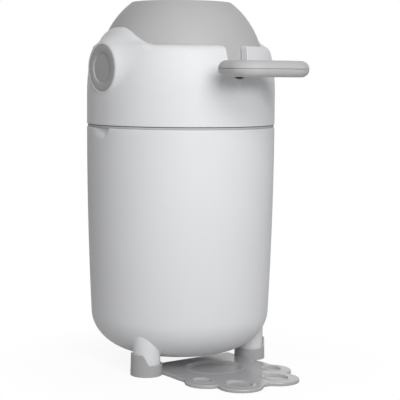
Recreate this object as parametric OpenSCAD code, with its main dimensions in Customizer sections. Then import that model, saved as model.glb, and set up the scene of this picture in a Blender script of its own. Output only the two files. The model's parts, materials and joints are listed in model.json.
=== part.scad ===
// Nappy bin: a barrel on three feet with a hinged head, a ball that is flipped by a ring handle,
// and a piston that slides through the ball. Millimetres, +Z up, front is -Y, floor at Z = 0.
// Every piece is drawn about the barrel's axis and then set back by axis_y, so that the origin is
// the centre of the bin's footprint on the floor.

/* [Body] */
// Outer radius at the seam
body_r = 140; // [132:1:170]
// Outer radius at the top of the bottom curve
waist_r = 133.5; // [115:0.5:160]
// Height of the body's top edge
body_top = 355.4; // [295:0.2:430]
// Height of the body's underside
body_bottom = 14; // [10:1:30]
// Height at which the bottom curve begins
curve_top = 80; // [60:1:110]
// Radius of the flat underside
base_r = 54; // [40:1:80]
// Wall of the moulded shells
wall = 3; // [2:0.5:5]

/* [Finger scoops] */
// Half width of a scoop
scoop_w = 17; // [14:1:26]
// Depth of a scoop below the body's top edge
scoop_h = 15; // [8:1:17]
// Depth of a scoop into the wall
scoop_in = 9; // [5:1:14]

/* [Feet] */
// Angle of a front foot, from the side towards the front
foot_a = 28; // [15:1:40]
// How far a front foot is set in from the waist
foot_in = 4.8; // [2:0.2:12]
// How far the rear foot is set in from the waist
rear_in = 15.5; // [10:0.5:25]
// Radius of a foot
foot_r = 20; // [15:0.5:24]
// Wall of a boot
boot_wall = 2.2; // [1.5:0.1:4]
// Height of a boot's low side
boot_low = 17; // [12:1:22]
// Height of the rear boot's low side, under the body's curve
rear_low = 13; // [8:1:15]
// Height of a boot's tongue
boot_high = 32; // [24:1:40]

/* [Foot plate] */
// Thickness of the plate
plate_t = 5; // [3:0.5:9]
// How far the plate laps a boot
plate_lap = 5.5; // [3:0.5:8]
// Distance from the axis to the plate's rear edge
plate_rear = 20; // [10:1:40]
// Distance from the axis to the tips of the toes
plate_front = 222; // [200:1:250]
// Depth of the pads that are pressed into the plate
pad_depth = 1.2; // [0.5:0.1:2.5]

/* [Head] */
// Height of the head from the seam to the flip axis
head_low = 81.5; // [70:0.5:95]
// Height of the rim above the flip axis
rim_up = 33; // [25:1:40]
// Height of a hump above the rim
hump_up = 25.4; // [15:0.2:27]
// How far a hump leans in over the ball
hump_in = 7; // [0:0.5:9]
// Rounding of the rim's outer edge
rim_round = 9; // [2:0.5:10]
// Radius of the crown of the head's side
crown_r = 250; // [200:5:400]
// Radius of an eye's raised edge
eye_edge_r = 36; // [30:1:42]
// How far the face of an eye stands out from the body's radius
eye_out = 0.5; // [0:0.5:6]
// Half width of a notch in the rim, at its round bottom
notch_w = 16.2; // [15.5:0.1:20]
// Height of the centre of the notch's round bottom, above the flip axis
notch_up = 2.2; // [0:0.2:4]
// How much wider a notch is on each side at the rim
notch_flare = 2.6; // [0:0.2:5]

/* [Ball] */
// Radius of the ball
ball_r = 122; // [100:1:125]
// Width of the flat rim round the ball's mouth
mouth_rim = 9.3; // [6:0.1:16]
// Radius of the chamber through the ball
chamber_r = 64; // [50:0.5:78]
// Radius of a pivot pin
pin_r = 12; // [8:0.5:15]

/* [Handle] */
// Thickness of the ring handle
ring_t = 22.5; // [18:0.5:28]
// Width of the ring's bar
ring_bar = 21; // [16:0.5:26]
// Half width of the ring
ring_w = 65; // [50:1:80]
// Gap between the body's radius and the ring's rear edge
ring_stand = 10; // [6:1:30]
// Length of the ring from its rear edge to its front edge
ring_len = 85; // [70:1:110]
// Outer radius of the ring's corners
ring_corner = 36; // [28:1:40]
// Half width of the stem between ball and ring
stem_w = 13.5; // [12:0.5:14]

/* [Bag ring] */
// Height of the skirt that hangs in the body
skirt_h = 20; // [14:1:40]
// Width of the lip inside the skirt
bag_lip = 13.5; // [6:0.5:20]

/* [Piston] */
// Height of the piston
piston_h = 26; // [20:1:40]

/* [Fits] */
// Gap between bodies that move past each other
run_gap = 1.2; // [0.8:0.1:1.8]
// Gap between seated pieces
seat_gap = 0.3; // [0.1:0.05:0.6]
// Radial clearance of a pin in its bore
pin_gap = 0.05; // [0.02:0.01:0.1]

/* [Hidden] */
$fn = 96;

white = "#e9eaec";
grey = "#b4b6b8";
dark = "#8e9092";
rubber = "#6f7173";
steel = "#c8cbd0";

ring_flange = 2.6;                                 // visible edge of the bag ring
ring_z = body_top + seat_gap + ring_flange;        // top face of the bag ring
head_z = ring_z + 0.9;                             // bottom edge of the head
pivot_z = head_z + head_low;                       // flip axis
clear_r = ball_r + run_gap;                        // spherical clearance round the ball
foot_x = (waist_r - foot_r - foot_in) * cos(foot_a);
foot_y = (waist_r - foot_r - foot_in) * sin(foot_a);
rear_foot_y = waist_r - foot_r - rear_in;
boot_r = foot_r + seat_gap + boot_wall;            // outer radius of a boot
boot_floor = 3;
plate_w = foot_x - boot_r + plate_lap;             // half width of the plate between the boots
eye_face = body_r + eye_out;                       // distance from the axis to the face of an eye
ball_flat = sqrt(pow(ball_r, 2) - pow(chamber_r + mouth_rim, 2));
ring_near = body_r + ring_stand;
ring_far = ring_near + ring_len;
hinge_y = body_r + 7.5;
hinge_z = ring_z - 1.2;
knuckle_r = 6;
hinge_pin_r = 2.5;
knuckle_w = 12;                                    // half width of the head's knuckle
bracket_w = 30;                                    // half width over the body's knuckles
skirt_r = body_r - scoop_in - wall - 4;
skirt_wall = 2.5;
mouth_r = skirt_r - skirt_wall - bag_lip;          // opening of the bag ring
axis_y = (ring_far - hinge_y - knuckle_r) / 2;     // barrel's axis behind the footprint's centre
lip_r = chamber_r - 1.6;                           // lip that stops the piston
tube_wall = 2;
end_t = 3.2;                                       // end plate round the ball's mouth
travel = 2 * (ball_flat - end_t) - piston_h - 2 * seat_gap;
boss_in = ball_r + 6;                              // inner face of the pivot bosses
cap_t = 5;
cap_r = eye_edge_r - 3;
cap_dish_r = cap_r - 11;
bush_r = pin_r + 6;
screw_r = 2;
screw_boss_r = screw_r + 4.2;                      // boss in the head for a liner screw
screw_bore_r = screw_r + seat_gap / 2;
boss_h = 14;

// ---------------------------------------------------------------- shared helpers

function ease(t) = t <= 0 ? 0 : t >= 1 ? 1 : t * t * (3 - 2 * t);
function from_x(a) = abs((a + 90) % 180 - 90);     // degrees from the nearer eye

module about_x() rotate([0, 90, 0]) children();
module on_side(s) about_x() mirror([0, 0, s < 0 ? 1 : 0]) children();
module ring(r_in, r_out, h) difference() {
    cylinder(r = r_out, h = h);
    translate([0, 0, -1]) cylinder(r = r_in, h = h + 2);
}
module placed() translate([0, axis_y, 0]) children();
module at_pivot() translate([0, axis_y, pivot_z]) children();

// ---------------------------------------------------------------- body

// Radius of the body's outside at a height, less an inset
function side_r(z) = body_r - (body_r - waist_r) * pow((body_top - z) / (body_top - curve_top), 2);
function curve_r(z) = base_r + (waist_r - base_r)
    * sqrt(max(0, 1 - pow((curve_top - z) / (curve_top - body_bottom), 2)));
curve_steps = 14;
side_steps = 8;
function curve_z(i) = curve_top - (curve_top - body_bottom) * cos(90 * i / curve_steps);

module body_outline(inset = 0) {
    bottom_scale = (waist_r - inset) / waist_r;
    polygon(concat(
        [[0, body_bottom + inset]],
        [for (i = [0 : curve_steps]) [curve_r(curve_z(i)) * bottom_scale,
            curve_z(i) + inset * (curve_top - curve_z(i)) / (curve_top - body_bottom)]],
        [for (i = [1 : side_steps])
            let (z = curve_top + (body_top - curve_top) * i / side_steps) [side_r(z) - inset, z]],
        [[0, body_top]]));
}

module foot_places() {
    for (s = [-1, 1]) translate([s * foot_x, -foot_y, 0]) rotate(s > 0 ? 0 : 180) children();
    translate([0, rear_foot_y, 0]) rotate(90) children();
}

// A dish cut into the wall: its floor is an arc from scoop_in deep at the top edge to the surface
scoop_arc = 26;
module scoop(grow = 0) {
    chord = sqrt(pow(scoop_in, 2) + pow(scoop_h, 2));
    reach = sqrt(pow(scoop_arc, 2) - pow(chord / 2, 2)) / chord;
    translate([body_r, 0, body_top]) intersection() {
        about_x() translate([0, 0, -scoop_in - grow]) cylinder(r = scoop_w + grow, h = 40);
        translate([reach * scoop_h - scoop_in / 2, 60, reach * scoop_in - scoop_h / 2]) rotate([90, 0, 0])
            cylinder(r = scoop_arc + grow, h = 120);
    }
}

module body_shell() color(white) placed() {
    difference() {
        union() {
            difference() {
                union() {
                    rotate_extrude() body_outline();
                    foot_places() translate([0, 0, boot_floor + seat_gap])
                        cylinder(r = foot_r, h = curve_top - boot_floor);
                }
                translate([0, 0, 0.01]) rotate_extrude() body_outline(wall);
            }
            intersection() {
                rotate_extrude() body_outline();
                for (s = [0, 180]) rotate(s) scoop(wall * 0.8);
            }
            for (s = [-1, 1]) translate([s < 0 ? -bracket_w : knuckle_w + 0.5, 0, 0]) body_knuckle();
        }
        for (s = [0, 180]) rotate(s) scoop();
        translate([-bracket_w - 1, hinge_y, hinge_z]) about_x()
            cylinder(r = hinge_pin_r, h = 2 * bracket_w + 2);
    }
}

// A knuckle and the gusset that carries it on the rear wall
module body_knuckle() {
    knuckle_len = bracket_w - knuckle_w - 0.5;
    translate([0, hinge_y, hinge_z]) about_x() cylinder(r = knuckle_r, h = knuckle_len);
    translate([knuckle_len, 0, 0]) rotate([90, 0, -90]) linear_extrude(knuckle_len)
        polygon([[-hinge_y - knuckle_r, hinge_z], [-body_r - 0.6, hinge_z],
                 [-body_r - 0.6, body_top - 1], [-body_r + 2, body_top - 1],
                 [-body_r + 2, hinge_z - 34], [-hinge_y - knuckle_r, hinge_z - 8]]);
}

// ---------------------------------------------------------------- boots and foot plate

// Height of a boot's wall at an angle from its tongue
tongue_a = 40;
tongue_end = 68;
function boot_top(a, low) = low + (boot_high - low) * ease((tongue_end - a) / (tongue_end - tongue_a));

// A low cup with a tongue up its outer side, whose flanks fall in an S
module boot(low) difference() {
    intersection() {
        cylinder(r1 = boot_r + 0.8, r2 = boot_r, h = boot_high);
        union() {
            translate([0, 0, low / 2]) cube([4 * boot_r, 4 * boot_r, low], center = true);
            rotate([90, 0, 90]) linear_extrude(2 * boot_r) tongue_outline(low);
        }
    }
    translate([0, 0, boot_floor]) cylinder(r = foot_r + seat_gap, h = boot_high);
}
module tongue_outline(low) {
    flank = [for (a = [tongue_end : -4 : tongue_a]) [boot_r * sin(a), boot_top(a, low)]];
    polygon(concat([[boot_r * sin(tongue_end), 1]], flank,
        [for (i = [len(flank) - 1 : -1 : 0]) [-flank[i][0], flank[i][1]]], [[-boot_r * sin(tongue_end), 1]]));
}

toe_r = 32;
toe_at = [33, toe_r - plate_front];                // centre of a front toe
side_toe_r = 31;
side_toe_at = [58, 77 - plate_front];              // centre of a side toe
palm_r = 40;
palm_at = [plate_w - palm_r, -foot_y - 58];        // centre of the rounding beside the palm
// A paw of four toes in front of a palm that runs back between the boots
module plate_outline() {
    for (s = [0, 1]) mirror([s, 0]) {
        translate(toe_at) circle(r = toe_r);
        translate(side_toe_at) circle(r = side_toe_r);
        translate(palm_at) circle(r = palm_r);
        polygon([[0, -plate_rear], [0, 14 - plate_front], [14, 14 - plate_front], [56, 50 - plate_front],
                 [plate_w, -foot_y - 40], [plate_w, -plate_rear]]);
    }
}
// An oval of given half width and half length
module oval(w, l) polygon([for (a = [0 : 9 : 351]) [w * cos(a), l * sin(a)]]);

module foot_plate() color(grey) placed() {
    difference() {
        linear_extrude(plate_t) difference() {
            plate_outline();
            for (s = [-1, 1]) translate([s * foot_x, -foot_y]) circle(r = boot_r - boot_wall / 2);
        }
        translate([0, 0, plate_t - pad_depth]) linear_extrude(pad_depth + 1) {
            translate([0, -90]) oval(41, 36);
            for (s = [0, 1]) mirror([s, 0]) {
                translate([33, 34.5 - plate_front]) oval(16, 20);
                translate([64, 80 - plate_front]) oval(12, 15);
            }
        }
    }
    for (s = [-1, 1]) translate([s * foot_x, -foot_y, 0]) rotate(s > 0 ? 0 : 180) boot(boot_low);
}

module rear_boot() color(grey) placed() translate([0, rear_foot_y, 0]) rotate(90) boot(rear_low);

// ---------------------------------------------------------------- bag ring

band_t = 3;
module bag_ring() color(white) placed() difference() {
    union() {
        translate([0, 0, ring_z - ring_flange]) ring(mouth_r, body_r - 1.2, ring_flange);
        translate([0, 0, body_top - skirt_h]) ring(skirt_r - skirt_wall, skirt_r, skirt_h + seat_gap + 1);
    }
    translate([0, 0, body_top - 12]) ring(skirt_r - 1, skirt_r + 1, 5);
}
// Soft band that holds the bag's neck on the skirt
module bag_band() color(rubber) placed() translate([0, 0, body_top - 11.8])
    ring(skirt_r - 1 + seat_gap / 2, skirt_r - 1 + band_t, 4.6);

module hinge_pin() color(steel) placed() translate([-bracket_w, hinge_y, hinge_z]) about_x()
    cylinder(r = hinge_pin_r - pin_gap, h = 2 * bracket_w);

// ---------------------------------------------------------------- head

// Side of the head, drawn in above the straight part and more so above the rim, where the humps lean in
crown_low = -35;
function crown(h) = body_r - hump_in * ease((h - rim_up + 2) / 9)
    - (h <= crown_low ? 0 : crown_r - sqrt(pow(crown_r, 2) - pow(h - crown_low, 2)));
// Rim height round the head: level, with a hump over each eye
function rim_h(a) = rim_up + hump_up * ease((37 - from_x(a)) / 33);
// Cone of an eye: falls from the eye's edge to the crest of the hump
crest_h = rim_up + hump_up;
crest_x = sqrt(pow(clear_r, 2) - pow(crest_h, 2)) + 2.6;
cone_k = (eye_face - crest_x) / (crest_h - eye_edge_r);
cone_c = eye_face + eye_edge_r * cone_k;
function cone_r(a, h) = let (c = cos(from_x(a)), s = sin(from_x(a)), k2 = pow(cone_k, 2),
        q = k2 * pow(h, 2) - pow(cone_c, 2), d = pow(cone_c * c, 2) - (k2 * s * s - c * c) * q)
    d < 0 || q > 0 ? 0 : -q / (cone_c * c + sqrt(d));
function soft_max(p, q, w) = max(p, q) + pow(max(w - abs(p - q), 0), 2) / (4 * w);
function head_r(a, h) = min(eye_face / max(cos(from_x(a)), 0.01),
    soft_max(crown(h), cone_r(a, h), 4 + 14 * ease((h + 34) / 50)));
function ball_gap_r(h) = sqrt(pow(clear_r, 2) - pow(h, 2));
function boss_depth(h) = h > -50 ? boss_in : body_r;
// Beside a notch the wall is as deep as the gap to the ball allows
function beside_notch(a, h) = from_x(a) > 77 && h > notch_up - notch_w - 5;
function head_in_r(a, h) = beside_notch(a, h) ? ball_gap_r(h) + 0.6 : max(ball_gap_r(h) + 0.6,
    min(head_r(a, h) - wall, boss_depth(h) / max(cos(from_x(a)), 0.01)));

head_cols = 90;
outer_rows = [0, 0.26, 0.37, 0.46, 0.55, 0.62, 0.7, 0.77, 0.83, 0.89, 0.95];
inner_rows = [0.955, 0.85, 0.7, 0.56, 0.53, 0.3, 0.23, 0.215, 0];
function rim_edge(a) = min(rim_round, 0.8 * (head_r(a, rim_h(a)) - ball_gap_r(rim_h(a))));
// Closed outline of the head's wall at one angle: up the outside, over the rim, down the inside
function head_column(a) = let (top = rim_h(a), edge = rim_edge(a)) concat(
    [for (v = outer_rows) let (h = (top - edge + head_low) * v - head_low) [head_r(a, h), h]],
    [for (t = [0 : 22.5 : 90]) let (h = top - edge * (1 - sin(t))) [head_r(a, h) - edge * (1 - cos(t)), h]],
    [[ball_gap_r(top), top], [ball_gap_r(top - 2.6), top - 2.6]],
    [for (v = inner_rows) let (h = (top + head_low) * v - head_low) [head_in_r(a, h), h]]);

module head_skin() {
    columns = [for (i = [0 : head_cols - 1]) head_column(i * 360 / head_cols)];
    m = len(columns[0]);
    points = [for (i = [0 : head_cols - 1]) for (p = columns[i])
        [p[0] * cos(i * 360 / head_cols), p[0] * sin(i * 360 / head_cols), p[1]]];
    faces = [for (i = [0 : head_cols - 1]) for (j = [0 : m - 1])
        let (a = i * m + j, b = i * m + (j + 1) % m, i2 = (i + 1) % head_cols,
             c = i2 * m + (j + 1) % m, d = i2 * m + j)
        for (t = [[a, b, c], [a, c, d]]) t];
    polyhedron(points, faces);
}

// A U whose sides open slightly and turn over into the rim with a radius
notch_round = 4.5;
module notch() rotate([90, 0, 0]) linear_extrude(2 * body_r + 40, center = true) {
    top_w = notch_w + notch_flare;
    translate([0, notch_up]) circle(r = notch_w);
    half = concat([[notch_w, notch_up]],
        [for (t = [0 : 15 : 90]) [top_w + notch_round * (1 - cos(t)), rim_up - notch_round * (1 - sin(t))]],
        [[top_w + notch_round, rim_up + 10]]);
    polygon(concat(half, [for (i = [len(half) - 1 : -1 : 0]) [-half[i][0], half[i][1]]]));
}

module head_shell() color(white) {
    difference() {
        union() {
            at_pivot() head_skin();
            placed() head_knuckle();
            liner_screw_places() translate([0, 0, liner_flange + seat_gap])
                cylinder(r = screw_boss_r, h = boss_h);
        }
        liner_screw_places() cylinder(r = screw_bore_r, h = boss_h);
        at_pivot() {
            notch();
            for (s = [-1, 1]) on_side(s) {
                cylinder(r = bush_r + seat_gap / 2, h = body_r + 20);
                translate([0, 0, eye_face - cap_t - seat_gap]) cylinder(r = cap_r + seat_gap, h = 20);
            }
        }
        placed() translate([-knuckle_w - 1, hinge_y, hinge_z]) about_x()
            cylinder(r = hinge_pin_r + pin_gap, h = 2 * knuckle_w + 2);
    }
}

module head_knuckle() {
    translate([-knuckle_w, hinge_y, hinge_z]) about_x() cylinder(r = knuckle_r, h = 2 * knuckle_w);
    translate([knuckle_w, 0, 0]) rotate([90, 0, -90]) linear_extrude(2 * knuckle_w)
        polygon([[-hinge_y - knuckle_r, hinge_z], [-body_r - 1, hinge_z],
                 [-body_r - 1, head_z + 1], [-body_r + 2, head_z + 1],
                 [-body_r + 2, hinge_z + 32], [-hinge_y - knuckle_r, hinge_z + 9]]);
}

// Funnel that closes the head round the ball
seal_h = 19.5 - head_low;
seal_gap = 0.7;
function ball_at(h) = sqrt(pow(ball_r, 2) - pow(h, 2));
seat_r = ball_at(seal_h) + 3.4;                    // bore of the liner that holds the soft lip
liner_out = body_r - wall - seat_gap;
liner_low = 1 - head_low;
liner_flange = 3;
module head_liner() color(white) difference() {
    at_pivot() rotate_extrude() polygon([
        [liner_out, liner_low], [liner_out, liner_low + liner_flange],
        [liner_out - 12.5, liner_low + liner_flange], [seat_r + 2.6, seal_h - 9],
        [seat_r + 2.6, seal_h + 2], [seat_r, seal_h + 2],
        [seat_r, seal_h - 11.5], [liner_out - 8, liner_low]]);
    liner_screw_places() translate([0, 0, -2]) cylinder(r = screw_bore_r, h = 20);
}
module liner_screw_places() placed() for (a = [45 : 90 : 315]) rotate(a)
    translate([liner_out - 5.2, 0, head_z + 1]) children();
module liner_screws() color(steel) liner_screw_places() {
    translate([0, 0, -0.5]) cylinder(r = screw_r, h = 12);
    translate([0, 0, -1.3]) cylinder(r = screw_r + 1.4, h = 1.2);
}
// Soft lip that wipes the ball
module ball_seal() color(rubber) at_pivot() rotate_extrude() polygon([
    [ball_at(seal_h - 6) + seal_gap, seal_h - 6], [seat_r - seat_gap, seal_h - 6],
    [seat_r - seat_gap, seal_h + 2], [ball_at(seal_h + 2) + seal_gap, seal_h + 2]]);
// Flat gasket between the head and the bag ring
module head_gasket() color(rubber) placed() translate([0, 0, ring_z + seat_gap])
    ring(liner_out - 22, liner_out - 9, head_z + 1 - seat_gap - ring_z);

module pivot_bush(s) color(dark) at_pivot() on_side(s) {
    bush_in = boss_in - 3;
    translate([0, 0, bush_in]) ring(pin_r + pin_gap, bush_r, eye_face - cap_t - 2 * seat_gap - bush_in);
}
module eye_cap(s) color(dark) at_pivot() on_side(s) difference() {
    translate([0, 0, eye_face - cap_t]) cylinder(r = cap_r, h = cap_t);
    translate([0, 0, eye_face - 2]) cylinder(r = cap_dish_r, h = 5);
}
module pivot_bush_left() pivot_bush(-1);
module pivot_bush_right() pivot_bush(1);
module eye_cap_left() eye_cap(-1);
module eye_cap_right() eye_cap(1);

// ---------------------------------------------------------------- ball and handle

parting = 0.15;                                    // half of the joint between the two mouldings
grip_round = 6;                                    // rounding of the bar on the inside of the ring
module bar_section() {
    half = ring_t / 2;
    translate([half, 0]) circle(r = half);
    translate([half, -half]) square([ring_bar - grip_round - half, ring_t]);
    translate([half, grip_round - half]) square([ring_bar - half, ring_t - 2 * grip_round]);
    for (s = [-1, 1]) translate([ring_bar - grip_round, s * (half - grip_round)]) circle(r = grip_round);
}
// The ring, run round a rectangle with round corners
module handle_ring() {
    half = (ring_far - ring_near) / 2;
    translate([0, -ring_near - half, 0]) for (side = [0, 180]) rotate(side) {
        for (s = [0, 1]) mirror([s, 0, 0])
            translate([ring_w - ring_corner, half - ring_corner, 0]) rotate_extrude(angle = 90)
                translate([ring_corner, 0]) mirror([1, 0]) bar_section();
        translate([ring_corner - ring_w, half, 0]) rotate([90, 0, 90])
            linear_extrude(2 * (ring_w - ring_corner)) mirror([1, 0]) bar_section();
        translate([ring_w, ring_corner - half, 0]) rotate([90, 0, 180])
            linear_extrude(2 * (half - ring_corner)) bar_section();
    }
}
stem_r = ring_t / 2 - 1.2;                         // half thickness of the stem
module stem() rotate([90, 0, 0]) translate([0, 0, ball_r - 4]) linear_extrude(ring_near + 9 - ball_r + 4) {
    for (s = [-1, 1]) translate([s * (stem_w - stem_r), 0]) circle(r = stem_r);
    square([2 * (stem_w - stem_r), 2 * stem_r], center = true);
}
screw_circle = (chamber_r + tube_wall + ball_r) / 2 - 2;
screw_at = [for (a = [38, 142, 218, 322]) [screw_circle * cos(a), screw_circle * sin(a)]];

module ball_half() difference() {
    union() {
        difference() {
            intersection() {
                sphere(r = ball_r, $fn = 128);
                cylinder(r = ball_r + 1, h = ball_flat);
            }
            difference() {
                sphere(r = ball_r - wall, $fn = 128);
                translate([0, 0, ball_flat - end_t]) cylinder(r = ball_r, h = 20);
                for (p = screw_at) translate([p[0], p[1], 0]) cylinder(r = screw_r + 3, h = ball_r);
            }
        }
        stem();
        handle_ring();
    }
    translate([0, 0, -ball_r]) cylinder(r = lip_r, h = 2 * ball_r);
    translate([0, 0, -ball_r]) cylinder(r = chamber_r + tube_wall + seat_gap, h = ball_r + ball_flat - end_t);
    translate([0, 0, parting - ball_r]) cube([2 * ball_r + 2, 2 * ring_far + 2, 2 * ball_r], center = true);
    for (s = [-1, 1]) on_side(s) cylinder(r = pin_r - 2 + seat_gap / 2, h = ball_r + 5);
    for (p = screw_at) translate([p[0], p[1], -1]) cylinder(r = screw_bore_r, h = 16);
}
module ball_upper() color(grey) at_pivot() ball_half();
module ball_lower() color(grey) at_pivot() difference() {
    mirror([0, 0, 1]) ball_half();
    for (p = screw_at) translate([p[0], p[1], -ball_r]) {
        cylinder(r = screw_bore_r, h = ball_r);
        cylinder(r = screw_r + 2, h = ball_r - 20);
    }
}
module ball_screws() color(steel) at_pivot() for (p = screw_at) translate([p[0], p[1], -20 - seat_gap]) {
    cylinder(r = screw_r, h = 32);
    translate([0, 0, -2.5]) cylinder(r = screw_r + 1.7, h = 2.5);
}
module chamber_tube() color(white) at_pivot() translate([0, 0, seat_gap - ball_flat + end_t])
    ring(chamber_r, chamber_r + tube_wall, 2 * (ball_flat - end_t - seat_gap));

module pivot_pin(s) color(dark) at_pivot() on_side(s) {
    translate([0, 0, ball_r - 14]) cylinder(r = pin_r - 2, h = 18);
    translate([0, 0, sqrt(pow(ball_r, 2) - pow(pin_r, 2)) + 1.2])
        cylinder(r = pin_r - pin_gap / 2, h = eye_face - cap_t - 1 - ball_r - 1.2);
}
module pivot_pin_left() pivot_pin(-1);
module pivot_pin_right() pivot_pin(1);

// ---------------------------------------------------------------- piston

piston_r = chamber_r - 0.8;
piston_z = -ball_flat + end_t + seat_gap;
// One dished cup; two of them are joined back to back
module piston_half() difference() {
    cylinder(r = piston_r, h = piston_h / 2 - parting);
    translate([0, 0, -1]) cylinder(r1 = piston_r - 12, r2 = piston_r - 22, h = piston_h / 2 - 2);
    translate([0, 0, piston_h / 2 - 7]) ring(piston_r - 2, piston_r + 1, 3);
}
module piston_lower() color(white) at_pivot() translate([0, 0, piston_z]) piston_half();
module piston_upper() color(white) at_pivot() translate([0, 0, piston_z + piston_h])
    mirror([0, 0, 1]) piston_half();
module piston_seals() color(rubber) at_pivot() for (z = [piston_h / 2 - 6.8, piston_h / 2 + 4.2])
    translate([0, 0, piston_z + z]) ring(piston_r - 1.8, chamber_r - 0.35, 2.6);

body_shell();
foot_plate();
rear_boot();
bag_ring();
bag_band();
hinge_pin();
head_shell();
head_liner();
liner_screws();
ball_seal();
head_gasket();
pivot_bush_left();
pivot_bush_right();
eye_cap_left();
eye_cap_right();
ball_upper();
ball_lower();
ball_screws();
chamber_tube();
pivot_pin_left();
pivot_pin_right();
piston_upper();
piston_lower();
piston_seals();
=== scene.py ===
import json
import math
import bpy
import numpy as np
from mathutils import Matrix, Vector


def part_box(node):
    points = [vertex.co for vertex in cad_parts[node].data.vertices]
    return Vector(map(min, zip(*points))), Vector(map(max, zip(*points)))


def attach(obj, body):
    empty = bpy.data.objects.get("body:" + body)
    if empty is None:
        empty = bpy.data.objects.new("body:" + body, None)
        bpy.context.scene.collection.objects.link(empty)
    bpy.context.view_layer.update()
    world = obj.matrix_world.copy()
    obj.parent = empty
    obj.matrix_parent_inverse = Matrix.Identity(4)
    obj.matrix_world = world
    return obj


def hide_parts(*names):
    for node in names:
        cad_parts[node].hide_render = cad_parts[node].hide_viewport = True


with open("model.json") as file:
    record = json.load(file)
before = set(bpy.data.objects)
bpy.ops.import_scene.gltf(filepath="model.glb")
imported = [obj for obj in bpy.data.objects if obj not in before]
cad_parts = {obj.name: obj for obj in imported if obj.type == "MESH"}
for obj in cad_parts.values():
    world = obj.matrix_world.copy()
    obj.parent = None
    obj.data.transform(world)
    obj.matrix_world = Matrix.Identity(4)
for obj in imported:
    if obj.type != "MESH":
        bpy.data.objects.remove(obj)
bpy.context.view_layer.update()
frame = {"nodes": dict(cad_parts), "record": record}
print("frame loaded:", len(frame["nodes"]), "nodes")

scene = bpy.context.scene
scene.view_settings.view_transform = "Standard"
mm = 0.001
tiny = 1e-6
leastCos = 0.01


# lowest and highest corner of a CAD node, in millimetres
def boxOf(node):
    low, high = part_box(node)
    return np.array(low) / mm, np.array(high) / mm


tubeLow, tubeHigh = boxOf("chamber_tube")
capLow, capHigh = boxOf("eye_cap_right")
pinLow, pinHigh = boxOf("hinge_pin")
ringTop = boxOf("bag_ring")[1][2]

# driving places, in millimetres, with x and y measured from the barrel's axis
seam = {"ringOverBody": 2.9, "headOverRing": 0.9}
place = {
    "axisY": (tubeLow[1] + tubeHigh[1]) / 2,
    "pivotZ": (capLow[2] + capHigh[2]) / 2,
    "bodyTop": ringTop - seam["ringOverBody"],
    "headBase": ringTop + seam["headOverRing"],
    "eyeFace": capHigh[0],
}
place["hingeY"] = (pinLow[1] + pinHigh[1]) / 2 - place["axisY"]
place["hingeZ"] = (pinLow[2] + pinHigh[2]) / 2
place["headLow"] = place["pivotZ"] - place["headBase"]

# the camera stands at the photograph's angle: sizes in millimetres, degrees and pixels
view = {
    "azimuth": -36.08, "distance": 1863.2, "height": 430,
    "turn": -0.91, "down": 5.69, "roll": 0.46,
    "focalPixels": 1242, "framePixels": 400, "sensor": 36,
}


def makeCamera(v):
    a = math.radians(v["azimuth"])
    heading = math.radians(v["azimuth"] + v["turn"])
    down = math.radians(v["down"])
    roll = math.radians(v["roll"])
    right = Vector((math.cos(heading), math.sin(heading), 0))
    level = math.cos(down)
    ahead = Vector((-math.sin(heading) * level, math.cos(heading) * level, -math.sin(down)))
    up = right.cross(ahead)
    rolledRight = right * math.cos(roll) + up * math.sin(roll)
    rolledUp = up * math.cos(roll) - right * math.sin(roll)
    facing = Matrix((rolledRight, rolledUp, -ahead)).transposed().to_4x4()
    x = v["distance"] * math.sin(a)
    y = place["axisY"] - v["distance"] * math.cos(a)
    data = bpy.data.cameras.new("camera")
    data.sensor_width = v["sensor"]
    data.lens = v["focalPixels"] / v["framePixels"] * data.sensor_width
    camera = bpy.data.objects.new("camera", data)
    camera.matrix_world = Matrix.Translation(Vector((x, y, v["height"])) * mm) @ facing
    scene.collection.objects.link(camera)
    scene.camera = camera


makeCamera(view)
print("camera placed")


# every shape below is arrays of points and faces, in millimetres about the barrel's axis

# faces between neighbouring points of a grid of rows and columns
def gridFaces(rows, cols, wrapRows=False, wrapCols=False):
    i = np.arange(rows if wrapRows else rows - 1)[:, None]
    j = np.arange(cols if wrapCols else cols - 1)[None, :]
    i2, j2 = (i + 1) % rows, (j + 1) % cols
    corners = [i * cols + j, i * cols + j2, i2 * cols + j2, i2 * cols + j]
    return np.stack(corners, -1).reshape(-1, 4)


# volume is a sixth of the sum of a . (b x c) over the faces' triangles; if it is negative
# the faces turn round
def facingOut(points, faces):
    total = 0.0
    for f in faces:
        for k in range(1, f.shape[1] - 1):
            a, b, c = points[f[:, 0]], points[f[:, k]], points[f[:, k + 1]]
            total += np.einsum("ij,ij->i", a, np.cross(b, c)).sum()
    if total < 0:
        faces = [f[:, ::-1] for f in faces]
    return points, faces


# a grid whose first and last rows close on a pole each, or on each other
def closedGrid(grid, firstPole=None, lastPole=None):
    rows, cols, _ = grid.shape
    points = grid.reshape(-1, 3)
    faces = [gridFaces(rows, cols, wrapRows=firstPole is None, wrapCols=True)]
    j = np.arange(cols)
    for pole, row in ((firstPole, 0), (lastPole, rows - 1)):
        if pole is not None:
            start = row * cols
            fan = np.stack([np.full(cols, len(points)), start + (j + 1) % cols, start + j], 1)
            faces.append(fan if row == 0 else fan[:, ::-1])
            points = np.vstack([points, pole])
    return facingOut(points, faces)


# angles of a full turn
def fullTurn(count, start=0.0):
    return np.linspace(start, start + 2 * np.pi, count, endpoint=False)


# x = r cos a, y = r sin a
def polar(r, a, z):
    return np.stack([r * np.cos(a), r * np.sin(a), z + 0 * a], -1)


# an edge's round in rows: radius (1 - sin t) is still to come, and radius (1 - cos t) is gone
def rounding(radius, rows):
    t = np.linspace(0, np.pi / 2, rows)
    return radius * (1 - np.sin(t)), radius * (1 - np.cos(t))


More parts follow.
